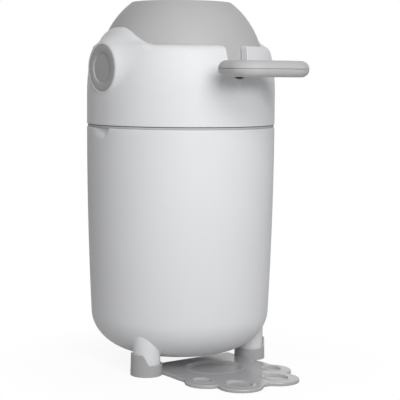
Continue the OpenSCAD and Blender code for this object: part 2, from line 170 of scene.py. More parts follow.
# a profile of (r, h) turned about Z; one that starts on the axis closes on poles
def lathe(profile, cols):
    profile = np.asarray(profile, float)
    a = fullTurn(cols)
    poled = profile[0, 0] < tiny
    body = profile[1:-1] if poled else profile
    grid = polar(body[:, 0, None], a, body[:, 1, None])
    if poled:
        return closedGrid(grid, (0, 0, profile[0, 1]), (0, 0, profile[-1, 1]))
    return closedGrid(grid)


# each corner is replaced by an arc that touches both of its sides
def rounded(corners, radii, steps=6):
    corners = np.asarray(corners, float)
    count = len(corners)
    made = []
    for i in range(count):
        here, before, after = corners[i], corners[i - 1], corners[(i + 1) % count]
        if radii[i] <= 0:
            made.append(here[None])
            continue
        u = (before - here) / np.linalg.norm(before - here)
        v = (after - here) / np.linalg.norm(after - here)
        half = math.acos(np.clip(u @ v, -1, 1)) / 2
        middle = here + (u + v) / np.linalg.norm(u + v) * radii[i] / math.sin(half)
        touch = radii[i] / math.tan(half)
        start, end = here + u * touch - middle, here + v * touch - middle
        a0 = math.atan2(start[1], start[0])
        sweep = (math.atan2(end[1], end[0]) - a0 + math.pi) % (2 * math.pi) - math.pi
        a = a0 + sweep * np.linspace(0, 1, steps + 1)
        made.append(middle + radii[i] * np.stack([np.cos(a), np.sin(a)], 1))
    return np.vstack(made)


# a profile's straight runs are cut into steps no longer than reach
def withSteps(profile, reach):
    made = []
    for here, after in zip(profile[:-1], profile[1:]):
        count = max(1, int(np.ceil(np.linalg.norm(after - here) / reach)))
        share = np.linspace(0, 1, count, endpoint=False)[:, None]
        made.append(here + (after - here) * share)
    made.append(profile[-1][None])
    return np.vstack(made)


# 0 to 1 with a level start and end: 3 t^2 - 2 t^3
def ease(t):
    t = np.clip(t, 0, 1)
    return t * t * (3 - 2 * t)


# the larger of two values, rounded over where they differ by less than w
def softMax(p, q, w):
    return np.maximum(p, q) + np.maximum(w - np.abs(p - q), 0) ** 2 / (4 * w)


# the smaller of two values, rounded in the same way
def softMin(p, q, w):
    return -softMax(-p, -q, w)


# several closed shapes as one; where they overlap, both stay
def joined(*shapes):
    points, faces, base = [], [], 0
    for shapePoints, shapeFaces in shapes:
        points.append(shapePoints)
        faces += [f + base for f in shapeFaces]
        base += len(shapePoints)
    return np.vstack(points), faces


def moved(shape, x=0.0, y=0.0, z=0.0):
    return shape[0] + np.array([x, y, z]), shape[1]


# the lathe's axis laid along +X or -X: (x, y, z) becomes (side z, y, x)
def onSide(shape, side):
    p = shape[0]
    return facingOut(np.stack([side * p[:, 2], p[:, 1], p[:, 0]], 1), shape[1])


# turned about Z: x' = c x - s y, y' = s x + c y
def turned(shape, degrees):
    c, s = math.cos(math.radians(degrees)), math.sin(math.radians(degrees))
    p = shape[0]
    return np.stack([c * p[:, 0] - s * p[:, 1], s * p[:, 0] + c * p[:, 1], p[:, 2]], 1), shape[1]


# mirrored in the level plane: z becomes -z
def flipped(shape):
    return facingOut(shape[0] * np.array([1, 1, -1]), shape[1])


sharpAngle = 32


# an object from a shape, in metres, with the barrel's axis put where the CAD has it
def meshObject(name, shape):
    points, faces = shape
    mesh = bpy.data.meshes.new(name)
    placed = (points + np.array([0, place["axisY"], 0])) * mm
    mesh.from_pydata(placed.tolist(), [], [face for f in faces for face in f.tolist()])
    mesh.update()
    made = bpy.data.objects.new(name, mesh)
    scene.collection.objects.link(made)
    return made


def smoothed(piece):
    piece.data.polygons.foreach_set("use_smooth", np.ones(len(piece.data.polygons), bool))
    piece.data.set_sharp_from_angle(angle=math.radians(sharpAngle))
    piece.data.update()


# a closed shape is taken away from a piece, and its object removed
def carved(piece, toolShape):
    tool = meshObject("tool", toolShape)
    step = piece.modifiers.new("carve", "BOOLEAN")
    step.operation = "DIFFERENCE"
    step.object = tool
    step.solver = "EXACT"
    applyModifiers(piece)
    bpy.data.objects.remove(tool)


# the mesh that a piece's modifiers give becomes its own
def applyModifiers(piece):
    bpy.context.view_layer.update()
    seen = piece.evaluated_get(bpy.context.evaluated_depsgraph_get())
    finished = bpy.data.meshes.new_from_object(seen)
    piece.modifiers.clear()
    piece.data = finished


# smooths a piece, gives it its material and its body, and hides the CAD nodes it stands for
def finishPiece(piece, body, nodes, material):
    smoothed(piece)
    piece.data.materials.clear()
    piece.data.materials.append(material)
    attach(piece, body)
    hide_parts(*nodes)
    print("piece", piece.name, len(piece.data.polygons), "faces")


# a shader socket that takes part in sums; each operator adds a Math node
class Signal:
    def __init__(self, finish, socket):
        self.finish = finish
        self.socket = socket

    def combined(self, operation, first, second):
        return self.finish.node("ShaderNodeMath", {"operation": operation}, {0: first, 1: second})

    def __add__(self, other):
        return self.combined("ADD", self, other)

    def __mul__(self, other):
        return self.combined("MULTIPLY", self, other)

    def __sub__(self, other):
        return self.combined("SUBTRACT", self, other)

    def __rsub__(self, other):
        return self.combined("SUBTRACT", other, self)

    __radd__ = __add__
    __rmul__ = __mul__


# the node tree of a material, or of the owner that is given
class Finish:
    def __init__(self, name, owner=None):
        self.material = owner or bpy.data.materials.new(name)
        self.material.use_nodes = True
        self.tree = self.material.node_tree
        self.tree.nodes.clear()

    # adds a node: its settings first, then the values or links of its sockets
    def node(self, kind, settings=None, inputs=None, output=0):
        made = self.tree.nodes.new(kind)
        for key, value in (settings or {}).items():
            setattr(made, key, value)
        for key, value in (inputs or {}).items():
            if isinstance(value, Signal):
                self.tree.links.new(value.socket, made.inputs[key])
            else:
                made.inputs[key].default_value = value
        return Signal(self, made.outputs[output])

    def objectPlace(self):
        return self.node("ShaderNodeTexCoord", output="Object")

    def noise(self, where, scale, detail, roughness=0.5):
        return self.node("ShaderNodeTexNoise", None, {"Vector": where, "Scale": scale,
                                                      "Detail": detail, "Roughness": roughness})

    # a share of 0 to 1 runs from a shaded to a lightened form of the look's colour
    def tinted(self, share, look):
        ends = [rgb(look["colour"], level) for level in (look["shade"], 2 - look["shade"])]
        return self.mixedColour(share, *ends)

    def mixedColour(self, share, first, second):
        return self.node("ShaderNodeMix", {"data_type": "RGBA"}, {0: share, 6: first, 7: second}, 2)

    def surface(self, inputs):
        return self.ended(self.node("ShaderNodeBsdfPrincipled", None, inputs))

    def ended(self, shader, kind="ShaderNodeOutputMaterial"):
        out = self.tree.nodes.new(kind)
        self.tree.links.new(shader.socket, out.inputs["Surface"])
        return self.material


# a colour at a level, with full alpha
def rgb(colour, level=1.0):
    return tuple(c * level for c in colour) + (1.0,)


whiteLook = {
    "colour": (0.80, 0.805, 0.82), "shade": 0.965, "rough": 0.46, "roughSpread": 0.10,
    "grain": 2600, "grainDepth": 0.00003, "flow": 7.0, "specular": 0.22,
}
greyLook = {
    "colour": (0.52, 0.52, 0.527), "shade": 0.96, "rough": 0.48, "roughSpread": 0.10,
    "grain": 2200, "grainDepth": 0.00004, "flow": 11.0, "specular": 0.2,
}
darkLook = {
    "colour": (0.45, 0.45, 0.455), "shade": 0.95, "rough": 0.44, "roughSpread": 0.12,
    "grain": 2200, "grainDepth": 0.00005, "flow": 14.0, "specular": 0.2,
}
plateLook = {
    "colour": (0.45, 0.45, 0.457), "shade": 0.96, "rough": 0.17, "roughSpread": 0.06,
    "grain": 2200, "grainDepth": 0.00001, "flow": 11.0, "specular": 0.8,
}
sealLook = {
    "colour": (0.16, 0.16, 0.165), "shade": 0.85, "rough": 0.62, "roughSpread": 0.16,
    "grain": 1500, "grainDepth": 0.00008, "flow": 20.0, "specular": 0.35,
}
moulded = {"flowDetail": 3.0, "grainDetail": 2.0, "grainRoughness": 0.6, "bump": 0.5}
steelLook = {
    "colour": (0.62, 0.62, 0.63), "shade": 0.9, "rough": 0.26, "roughSpread": 0.16,
    "brush": 900, "detail": 3.0, "stretch": (0.04, 1.0, 1.0), "bump": 0.4, "depth": 0.00002,
}


# moulded plastic: a fine spark-eroded grain over slow changes of tint and gloss from the flow
# in the mould; both noises average a half, so the roughness averages the look's own
def mouldedFinish(name, look):
    f, m = Finish(name), moulded
    spread = look["roughSpread"]
    flow = f.noise(f.objectPlace(), look["flow"], m["flowDetail"])
    grain = f.noise(f.objectPlace(), look["grain"], m["grainDetail"], m["grainRoughness"])
    gloss = flow * spread + grain * (spread / 2) + (look["rough"] - spread * 0.75)
    bump = f.node("ShaderNodeBump", None, {"Height": grain, "Strength": m["bump"],
                                           "Distance": look["grainDepth"]})
    return f.surface({"Base Color": f.tinted(flow, look), "Roughness": gloss,
                      "Specular IOR Level": look["specular"], "Normal": bump})


# drawn steel: scratches that run along the part, from noise that is stretched along X
def steelFinish(name, look):
    f = Finish(name)
    along = f.node("ShaderNodeMapping", None, {"Vector": f.objectPlace(), "Scale": look["stretch"]})
    lines = f.noise(along, look["brush"], look["detail"])
    gloss = lines * look["roughSpread"] + look["rough"]
    bump = f.node("ShaderNodeBump", None, {"Height": lines, "Strength": look["bump"],
                                           "Distance": look["depth"]})
    return f.surface({"Base Color": f.tinted(lines, look), "Roughness": gloss,
                      "Metallic": 1.0, "Normal": bump})


white = mouldedFinish("white moulded plastic", whiteLook)
grey = mouldedFinish("grey moulded plastic", greyLook)
dark = mouldedFinish("dark grey moulded plastic", darkLook)
polished = mouldedFinish("polished grey plastic", plateLook)
rubber = mouldedFinish("soft seal", sealLook)
steel = steelFinish("drawn steel", steelLook)
finishOf = {
    "white_shell": white, "grey_plastic": grey, "dark_grey_plastic": dark,
    "soft_seal": rubber, "steel": steel,
}
# the bag ring takes the grey finish in place of its slot's white, so the band between the head and
# the barrel renders darker than the white around it
for part in frame["record"]["subparts"]:
    carried = frame["nodes"][part["node"]].data.materials
    carried.clear()
    carried.append(grey if part["node"] == "bag_ring" else finishOf[part["material_slot"]])
print("finishes made")

# body: barrel, finger scoops, foot stubs and hinge knuckles
barrel = {
    "rimR": 140, "waistR": 133.5, "bottom": 18, "curveTop": 80, "baseR": 54, "wall": 3,
    "rimRound": 1.3, "baseShares": [0.33, 0.66, 0.9],
    "scoopFront": 17, "scoopRear": 36, "scoopDown": 18, "scoopIn": 5, "scoopArc": 60,
    "frontFade": 0.45, "rearFade": 1, "scoopCos": 0.8, "innerGrow": 0.8,
    "fineStep": 0.7, "fineHalf": 38, "fineDown": 20, "coarseStep": 3.2,
    "sideRows": 46, "curveRows": 30, "rimRows": 5, "innerRows": 20,
}


# side: r = rim radius less (rim - waist) times the square of the share of the way down
def sideR(z):
    down = (place["bodyTop"] - z) / (place["bodyTop"] - barrel["curveTop"])
    return barrel["rimR"] - (barrel["rimR"] - barrel["waistR"]) * down ** 2


# underside: a quarter ellipse from the base's edge to the waist
def undersideZ(r):
    b = barrel
    share = np.clip((r - b["baseR"]) / (b["waistR"] - b["baseR"]), 0, 1)
    return b["curveTop"] - (b["curveTop"] - b["bottom"]) * np.sqrt(1 - share ** 2)


# x of the scoop's floor: a cylinder along Y whose arc runs from scoopIn deep at the top to
# the surface scoopDown below it; the least square of 1 keeps the root real further away
def scoopFloorX(up):
    b = barrel
    chord = math.hypot(b["scoopIn"], b["scoopDown"])
    reach = math.sqrt(b["scoopArc"] ** 2 - (chord / 2) ** 2) / chord
    middleX = b["rimR"] + reach * b["scoopDown"] - b["scoopIn"] / 2
    middleUp = reach * b["scoopIn"] - b["scoopDown"] / 2
    return middleX - np.sqrt(np.maximum(b["scoopArc"] ** 2 - (up - middleUp) ** 2, 1))


# how much nearer the axis a wall is because of a scoop: it has a brisk edge at the front and
# fades slowly to the rear; the least cosine counts only where there is no scoop
def scoopDepth(r, a, z, grow=0.0):
    b = barrel
    up = z - place["bodyTop"]
    y = r * np.sin(a)
    across = np.abs(np.cos(a))
    wide = np.where(y < 0, b["scoopFront"], b["scoopRear"]) + grow
    floorR = (scoopFloorX(up) - grow) / np.maximum(across, 0.5)
    size = np.hypot(y / wide, up / (b["scoopDown"] + grow))
    rearward = ease((y / wide / np.maximum(size, tiny) + 1) / 2)
    fade = b["frontFade"] + (b["rearFade"] - b["frontFade"]) * rearward
    return np.maximum(r - floorR, 0) * ease((1 - size) / fade) * (across > b["scoopCos"])


# angles round a wall: close together for fineHalf to each side of 0 and of half a turn, and
# coarse between
def wallAngles(fineHalf, fineStep, coarseStep):
    radius = barrel["rimR"]
    half = fineHalf / radius
    fine = np.arange(-half, half, fineStep / radius)
    between = int((np.pi - 2 * half) * radius / coarseStep)
    coarse = np.linspace(half, np.pi - half, between, False)
    return np.concatenate([fine, coarse, fine + np.pi, coarse + np.pi])


# outer wall from the underside's centre to the rim, over it, and back down the inner wall
def barrelShape():
    b, wall, top = barrel, barrel["wall"], place["bodyTop"]
    a = wallAngles(b["fineHalf"], b["fineStep"], b["coarseStep"])
    curve = np.linspace(0, np.pi / 2, b["curveRows"])
    curveZ = b["curveTop"] - (b["curveTop"] - b["bottom"]) * np.cos(curve)
    curveR = b["baseR"] + (b["waistR"] - b["baseR"]) * np.sin(curve)
    baseR = b["baseR"] * np.array(b["baseShares"])
    fineLow = top - b["fineDown"]
    fine = np.arange(fineLow, top - b["rimRound"], b["fineStep"])
    side = np.concatenate([np.linspace(b["curveTop"], fineLow, b["sideRows"], False)[1:], fine])
    left, gone = rounding(b["rimRound"], b["rimRows"])
    outerR = np.concatenate([baseR, curveR, sideR(side), b["rimR"] - gone])
    outerZ = np.concatenate([0 * baseR + b["bottom"], curveZ, side, top - left])
    innerSide = np.concatenate([fine[::-2],
                                np.linspace(fineLow - 1, b["curveTop"], b["innerRows"])])
    share = (b["waistR"] - wall) / b["waistR"]
    lifted = curveZ + wall * (b["curveTop"] - curveZ) / (b["curveTop"] - b["bottom"])
    innerR = np.concatenate([[b["rimR"] - wall], sideR(innerSide) - wall, (curveR * share)[::-2]])
    innerZ = np.concatenate([[top], innerSide, lifted[::-2]])
    outerR, outerZ, innerR, innerZ = (v[:, None] + 0 * a for v in (outerR, outerZ, innerR, innerZ))
    outerR = outerR - scoopDepth(outerR, a, outerZ)
    innerR = innerR - scoopDepth(innerR, a, innerZ, wall * b["innerGrow"])
    grid = polar(np.vstack([outerR, innerR]), a, np.vstack([outerZ, innerZ]))
    return closedGrid(grid, (0, 0, b["bottom"]), (0, 0, b["bottom"] + wall))


foot = {
    "r": 20, "angle": 28, "inFromWaist": 4.8, "rearInFromWaist": 15.5, "low": 3.3,
    "edge": 1.5, "flare": 1.6, "sink": 1.3, "cols": 144, "edgeRows": 6,
    "sideRows": 8, "sideFrom": 0.15, "hiddenRows": 12, "hiddenFrom": 0.95, "hiddenTo": 0.08,
}


# x, y and turn of the three feet, the rear one last
def footPlaces():
    reach = barrel["waistR"] - foot["r"] - foot["inFromWaist"]
    a = math.radians(foot["angle"])
    x, y = reach * math.cos(a), -reach * math.sin(a)
    rearY = barrel["waistR"] - foot["r"] - foot["rearInFromWaist"]
    return [(x, y, 0), (-x, y, 180), (0, rearY, 90)]


# a round stub: rounded foot, straight side, a small flare that ends on the barrel's
# underside, and a top that is hidden inside the barrel's wall
def stubShape(x, y):
    f = foot
    a = fullTurn(f["cols"])
    t = np.linspace(0, np.pi / 2, f["edgeRows"])[:, None]
    straight = f["low"] + f["edge"]
    topR = f["r"] + f["flare"]
    meets = undersideZ(np.hypot(x + topR * np.cos(a), y + topR * np.sin(a)))
    share = np.linspace(f["sideFrom"], 1, f["sideRows"], endpoint=False)[:, None]
    inward = np.linspace(f["hiddenFrom"], f["hiddenTo"], f["hiddenRows"])[:, None] * topR
    above = undersideZ(np.hypot(x + inward * np.cos(a), y + inward * np.sin(a))) + f["sink"]
    r = np.vstack([f["r"] - f["edge"] * (1 - np.sin(t)) + 0 * a,
                   f["r"] + 0 * share + 0 * a,
                   topR - f["flare"] * np.cos(t) + 0 * a,
                   inward + 0 * a])
    z = np.vstack([f["low"] + f["edge"] * (1 - np.cos(t)) + 0 * a,
                   straight + (meets - f["flare"] - straight) * share,
                   meets - f["flare"] * (1 - np.sin(t)),
                   above])
    hidden = undersideZ(math.hypot(x, y)) + f["sink"]
    return closedGrid(polar(r, a, z) + np.array([x, y, 0]), (x, y, f["low"]), (x, y, hidden))


# out: past the wall; run and tip: along the wall and at the knuckle, up from the pin
hinge = {
    "knuckleR": 6, "headHalf": 12, "gap": 0.5, "bodyHalf": 29.7, "edge": 0.7, "edgeRows": 4,
    "cols": 48, "sunk": 2, "clear": 1, "tipRound": 3, "step": 4,
    "bodyGusset": {"out": 0.6, "run": -34, "tip": -8},
    "headGusset": {"out": 1, "run": 32, "tip": 9},
}


# an outline in the plane of X = 0, carried along X; its two ends step in by an edge's radius
def alongX(outline, x0, x1):
    outline = np.asarray(outline, float)
    centre = outline.mean(0)
    ahead = np.roll(outline, -1, 0) - np.roll(outline, 1, 0)
    normal = np.stack([ahead[:, 1], -ahead[:, 0]], 1) / np.linalg.norm(ahead, axis=1)[:, None]
    normal *= np.sign(np.sum(normal * (outline - centre), 1).sum())
    left, gone = rounding(hinge["edge"], hinge["edgeRows"])
    inset = np.concatenate([left, left[::-1]])
    x = np.concatenate([x0 + gone, x1 - gone[::-1]])
    yz = outline[None] - normal[None] * inset[:, None, None]
    grid = np.concatenate([np.broadcast_to(x[:, None, None], yz.shape[:2] + (1,)), yz], -1)
    return closedGrid(grid, (x0, *centre), (x1, *centre))


# y and z of a circle about the pin
def knuckleCircle():
    a, radius = fullTurn(hinge["cols"]), hinge["knuckleR"]
    return np.stack([place["hingeY"] + radius * np.cos(a), place["hingeZ"] + radius * np.sin(a)], 1)


# a wedge from a wall's end, just inside the wall, out to the knuckle
def gussetOutline(wallEnd, out, run, tip):
    back, wallY, z = place["hingeY"] + hinge["knuckleR"], barrel["rimR"], place["hingeZ"]
    sunkY = wallY - hinge["sunk"]
    corners = [(back, z), (wallY + out, z), (wallY + out, wallEnd), (sunkY, wallEnd),
               (sunkY, z + run), (back, z + tip)]
    return withSteps(rounded(corners, [0, 0, 0, 0, 0, hinge["tipRound"]]), hinge["step"])


# a knuckle and its gusset between two places along the pin
def knuckleShapes(x0, x1, gusset):
    return [alongX(knuckleCircle(), x0, x1), alongX(gusset, x0, x1)]


def makeBody():
    inner, outer = hinge["headHalf"] + hinge["gap"], hinge["bodyHalf"]
    gusset = gussetOutline(place["bodyTop"] - hinge["clear"], **hinge["bodyGusset"])
    shapes = [barrelShape()]
    shapes += [stubShape(x, y) for x, y, _ in footPlaces()]
    for x0, x1 in ((-outer, -inner), (inner, outer)):
        shapes += knuckleShapes(x0, x1, gusset)
    piece = meshObject("barrelShell", joined(*shapes))
    finishPiece(piece, "bin", ["body_shell"], white)


makeBody()

# head: crowned wall, humps over the pivots, U notches front and back; heights are from the pivot
head = {
    "rimUp": 33, "humpUp": 25.4, "humpIn": 7, "humpFrom": 2, "humpOver": 9,
    "humpEdge": 37, "humpSpan": 33,                       # degrees from the eye
    "crownR": 250, "crownLow": -35, "eyeEdge": 36, "ballClear": 123.2, "crestOut": 2.6,
    "blendLow": 4, "blendMore": 8, "blendFrom": -34, "blendOver": 50,
    "bossIn": 128, "bossLow": -50, "ribFade": 0.8, "ribSoft": 2, "ribGap": 0.6,
    "rimRound": 9, "rimShare": 0.8, "innerRound": 1.0, "innerLean": 0.6, "baseRound": 0.8,
    "eyeSoft": 1.6, "outerRows": 74, "roundRows": 10, "edgeRows": 4,
    "innerRows": 22, "innerStart": 0.025, "innerFrom": 0.03, "innerOver": 0.02,
    "fineStep": 0.6, "coarseStep": 1.5, "fineHalf": 17,
}
notch = {
    "half": 16.2, "up": 2.2, "flare": 2.6, "corner": 4.5, "edge": 1.3,
    "ribHalf": 13, "ribDown": 5, "deep": 20, "shallow": 8, "near": 100, "far": 175,
    "above": 12, "aside": 0.5, "bendR": 132, "edgeTurn": 1.25, "widest": 2.4, "past": 4,
    "cornerRows": 12, "sideRows": 26, "arcRows": 40, "edgeRows": 7,
}


# the crown: rim radius - (crownR - sqrt(crownR^2 - rise^2)), less a step inwards over the
# rim that only the humps reach
def crown(h):
    c = head
    rise = np.maximum(h - c["crownLow"], 0)
    return (barrel["rimR"] - (c["crownR"] - np.sqrt(c["crownR"] ** 2 - rise ** 2))
            - c["humpIn"] * ease((h - c["rimUp"] + c["humpFrom"]) / c["humpOver"]))


# degrees from the nearer eye, for an angle in radians
def fromEye(a):
    return np.abs((np.degrees(a) + 90) % 180 - 90)


# the rim over the pivot: rimUp, and humpUp more at an eye, eased over humpSpan degrees
def rimHeight(a):
    return head["rimUp"] + head["humpUp"] * ease((head["humpEdge"] - fromEye(a)) / head["humpSpan"])


# radius at which a plane that faces the nearer eye is met: distance / cos of the angle from
# it; the least cosine keeps a quarter turn off finite
def planeR(distance, a):
    return distance / np.maximum(np.cos(np.radians(fromEye(a))), leastCos)


# the eye's cone: its axis is the pivot, and it falls from the eye's edge to the crest of the hump
def coneR(a, h):
    crest = head["rimUp"] + head["humpUp"]
    crestX = math.sqrt(head["ballClear"] ** 2 - crest ** 2) + head["crestOut"]
    k = (place["eyeFace"] - crestX) / (crest - head["eyeEdge"])
    c0 = place["eyeFace"] + head["eyeEdge"] * k
    cosA, sinA = np.cos(np.radians(fromEye(a))), np.sin(np.radians(fromEye(a)))
    q = k ** 2 * h ** 2 - c0 ** 2
    d = (c0 * cosA) ** 2 - (k ** 2 * sinA ** 2 - cosA ** 2) * q
    found = -q / (c0 * cosA + np.sqrt(np.maximum(d, 0)) + 1e-9)    # never by nought
    return np.where((d < 0) | (q > 0), 0, found)


# outer wall: the crown and the cone blended, cut flat by the eye's face
def headOuterR(a, h):
    blend = head["blendLow"] + head["blendMore"] * ease((h - head["blendFrom"]) / head["blendOver"])
    wide = softMax(crown(h), coneR(a, h), blend)
    return softMin(planeR(place["eyeFace"], a), wide, head["eyeSoft"])


# radius that the ball needs at a height: sqrt(ballClear^2 - h^2)
def ballGapR(h):
    return np.sqrt(head["ballClear"] ** 2 - h ** 2)


# inner wall: a wall's thickness in, deeper behind the eyes and beside the notches, where it
# nears the ball
def headInnerR(a, h):
    boss = np.where(h > head["bossLow"], head["bossIn"], barrel["rimR"])
    thick = np.minimum(headOuterR(a, h) - barrel["wall"], planeR(boss, a))
    aside = ease((fromEye(a) - 90 + notch["ribHalf"]) / head["ribFade"])
    ribUp = h - notch["up"] + notch["half"] + notch["ribDown"]
    aside = aside * ease((ribUp + 1) / head["ribSoft"])
    near = ballGapR(h) + head["ribGap"]
    return np.maximum(near, thick + (near - thick) * aside)


# each column: base edge, outer wall, over the rim by its rounding, and down the inner wall
def headShape():
    c = head
    a = wallAngles(notch["half"] + c["fineHalf"], c["fineStep"], c["coarseStep"]) - np.pi / 2
    top, low = rimHeight(a), -place["headLow"]
    edge = np.minimum(c["rimRound"], c["rimShare"] * (headOuterR(a, top) - ballGapR(top)))
    rows = []

    def addRow(h, r):
        rows.append(polar(r, a, h + place["pivotZ"]))

    for left, gone in list(zip(*rounding(c["baseRound"], c["edgeRows"])))[:-1]:
        addRow(low + gone, headOuterR(a, low + 0 * a) - left)
    start = low + c["baseRound"]
    for v in np.linspace(0, 1, c["outerRows"]):
        h = start + (top - edge - start) * v
        addRow(h, headOuterR(a, h))
    for left, gone in list(zip(*rounding(1, c["roundRows"])))[1:]:
        h = top - edge * left
        addRow(h, headOuterR(a, h) - edge * gone)
    for left, gone in zip(*rounding(c["innerRound"], c["edgeRows"])):
        h = top - gone
        addRow(h, ballGapR(h) + left * c["innerLean"])
    for v in np.linspace(c["innerStart"], 1, c["innerRows"]):
        h = top - c["innerRound"] + (low - top + c["innerRound"]) * v
        away = ease((v - c["innerFrom"]) / c["innerOver"])
        addRow(h, ballGapR(h) + (headInnerR(a, h) - ballGapR(h)) * away)
    return closedGrid(np.array(rows))


# outline of what a notch takes away, as (across, up): down from above the rim, over its
# corner, and round the U
def notchOutline():
    n = notch
    wide = n["half"] + n["flare"]
    left, gone = rounding(n["corner"], n["cornerRows"])
    corner = np.stack([-wide - left, head["rimUp"] - gone], 1)
    above = np.array([[-wide - n["corner"] - n["aside"], head["rimUp"] + n["above"]]])
    down = np.linspace(0, 1, n["sideRows"])[1:-1, None]
    end = np.array([-n["half"], n["up"]])
    a = np.linspace(np.pi, 1.5 * np.pi, n["arcRows"])
    arc = np.stack([n["half"] * np.cos(a), n["up"] + n["half"] * np.sin(a)], 1)
    leftSide = np.vstack([above, corner, corner[-1] + (end - corner[-1]) * down, arc])
    return np.vstack([leftSide, leftSide[-2::-1] * np.array([-1, 1])])


# the notch's cutter: its outline carried outwards, and widened by an arc where it breaks
# through the outer wall
def notchTool(side):
    n, e = notch, notch["edge"]
    line = notchOutline()
    ahead = np.gradient(line, axis=0)
    normal = np.stack([ahead[:, 1], -ahead[:, 0]], 1) / np.linalg.norm(ahead, axis=1)[:, None]
    t = np.linspace(0, n["edgeTurn"], n["edgeRows"])
    widen = np.concatenate([[0, 0], e * (1 - np.cos(t)), [e * n["widest"]]])
    depth = np.concatenate([[n["deep"], n["shallow"]], e * (1 - np.sin(t)), [-e * n["past"]]])

    def flatRow(grow, y):
        u, h = (line + normal * grow).T
        return np.stack([u, side * y + 0 * u, h + place["pivotZ"]], -1)

    def wallRow(grow, inwards):
        u, h = (line + normal * grow).T
        a = np.arcsin(np.clip(u / n["bendR"], -1, 1))
        r = headOuterR(a + np.pi / 2, np.minimum(h, head["rimUp"])) - inwards
        return np.stack([u, side * np.sqrt(r ** 2 - u ** 2), h + place["pivotZ"]], -1)

    rows = [flatRow(0, n["near"])]
    rows += [wallRow(grow, inwards) for grow, inwards in zip(widen, depth)]
    rows.append(flatRow(widen[-1], n["far"]))
    middleZ = place["pivotZ"] + n["up"]
    return closedGrid(np.array(rows), (0, side * n["near"], middleZ), (0, side * n["far"], middleZ))


eye = {
    "capR": 33, "capDeep": 5, "dishR": 22, "dishDeep": 2, "dishEdge": 0.9, "dome": 0.5,
    "gap": 0.3, "boreR": 18.15, "boreFrom": 90, "mouthEdge": 0.7, "mouthOver": 0.5, "lift": 0.01,
    "out": 9, "edge": 0.7, "cols": 160, "edgeRows": 6, "mouthRows": 5, "stepRows": 9,
    "floorRows": 8, "floorFrom": 0.9, "floorTo": 0.1,
}


# a profile of (radius, x) turned about the pivot, on one side
def eyeLathe(profile, side):
    return moved(onSide(lathe(profile, eye["cols"]), side), z=place["pivotZ"])


# what is cut out for an eye: the cap's recess with a flared mouth, and the bush's bore behind it
def eyeTool(side):
    e, face = eye, place["eyeFace"]
    wide, lip = e["capR"] + e["gap"], e["mouthEdge"]
    t = np.linspace(0, np.pi / 2, e["mouthRows"])
    flare = np.stack([wide + lip * (1 - np.cos(t)), face - lip + lip * np.sin(t)], 1)
    floor = face - e["capDeep"] - e["gap"]
    over = wide + lip + e["mouthOver"]
    return eyeLathe(np.vstack([
        [0, e["boreFrom"]], [e["boreR"], e["boreFrom"]], [e["boreR"], floor], [wide, floor], flare,
        [over, face + e["lift"]], [over, face + e["out"]], [0, face + e["out"]]]), side)


def makeHead():
    piece = meshObject("headShell", headShape())
    carved(piece, joined(eyeTool(-1), eyeTool(1), notchTool(-1), notchTool(1)))
    gusset = gussetOutline(place["headBase"] + hinge["clear"], **hinge["headGusset"])
    shapes = knuckleShapes(-hinge["headHalf"], hinge["headHalf"], gusset)
    finishPiece(meshObject("headKnuckle", joined(*shapes)), "head", [], white)
    finishPiece(piece, "head", ["head_shell"], white)


makeHead()


# a disc whose middle is dished: rounded rim, flat band, a soft step down, and a slightly
# domed floor
def eyeCapShape(side):
    e, face = eye, place["eyeFace"]
    left, gone = rounding(e["edge"], e["edgeRows"])
    rim = np.stack([e["capR"] - gone, face - left], 1)
    step = np.linspace(0, 1, e["stepRows"])
    fall = np.stack([e["dishR"] + e["dishEdge"] - 2 * e["dishEdge"] * step,
                     face - e["dishDeep"] * ease(step)], 1)
    share = np.linspace(e["floorFrom"], e["floorTo"], e["floorRows"])
    floor = np.stack([e["dishR"] * share, face - e["dishDeep"] + e["dome"] * (1 - share ** 2)], 1)
    back = face - e["capDeep"]
    return eyeLathe(np.vstack([[0, back], [e["capR"], back], rim, fall, floor,
                               [0, face - e["dishDeep"] + e["dome"]]]), side)


for side, name, node in ((-1, "eyeCapLeft", "eye_cap_left"), (1, "eyeCapRight", "eye_cap_right")):
    finishPiece(meshObject(name, eyeCapShape(side)), "head", [node], dark)

# ball and ring handle, in an upper and a lower moulding
ball = {
    "r": 122, "pastTube": 3.5, "lipR": 62.4, "tubeBore": 66.3, "plate": 3.3, "seat": 0.6,
    "wall": 3, "roofIn": 1, "rimRound": 2.6, "lipRound": 1.2, "parting": 0.15,
    "partingRound": 0.4, "cols": 256, "edgeRows": 5, "sideRows": 70, "rimRows": 8,
    "insideRows": 24,
}
ball["flat"] = (tubeHigh[2] - tubeLow[2]) / 2 + ball["pastTube"]
ring = {
    "thick": 22.5, "bar": 21, "half": 65, "near": 150, "far": 235, "corner": 36,
    "innerRound": 6, "outerRows": 15, "innerRows": 9, "edgeRows": 4, "cornerCols": 25,
    "stemHalf": 13.5, "stemTrim": 1.2, "stemFlare": 5, "stemSunk": 5, "stemOver": 9,
    "flareFrom": 6, "flareLong": 8, "stemRows": 30, "stemCols": 40,
}


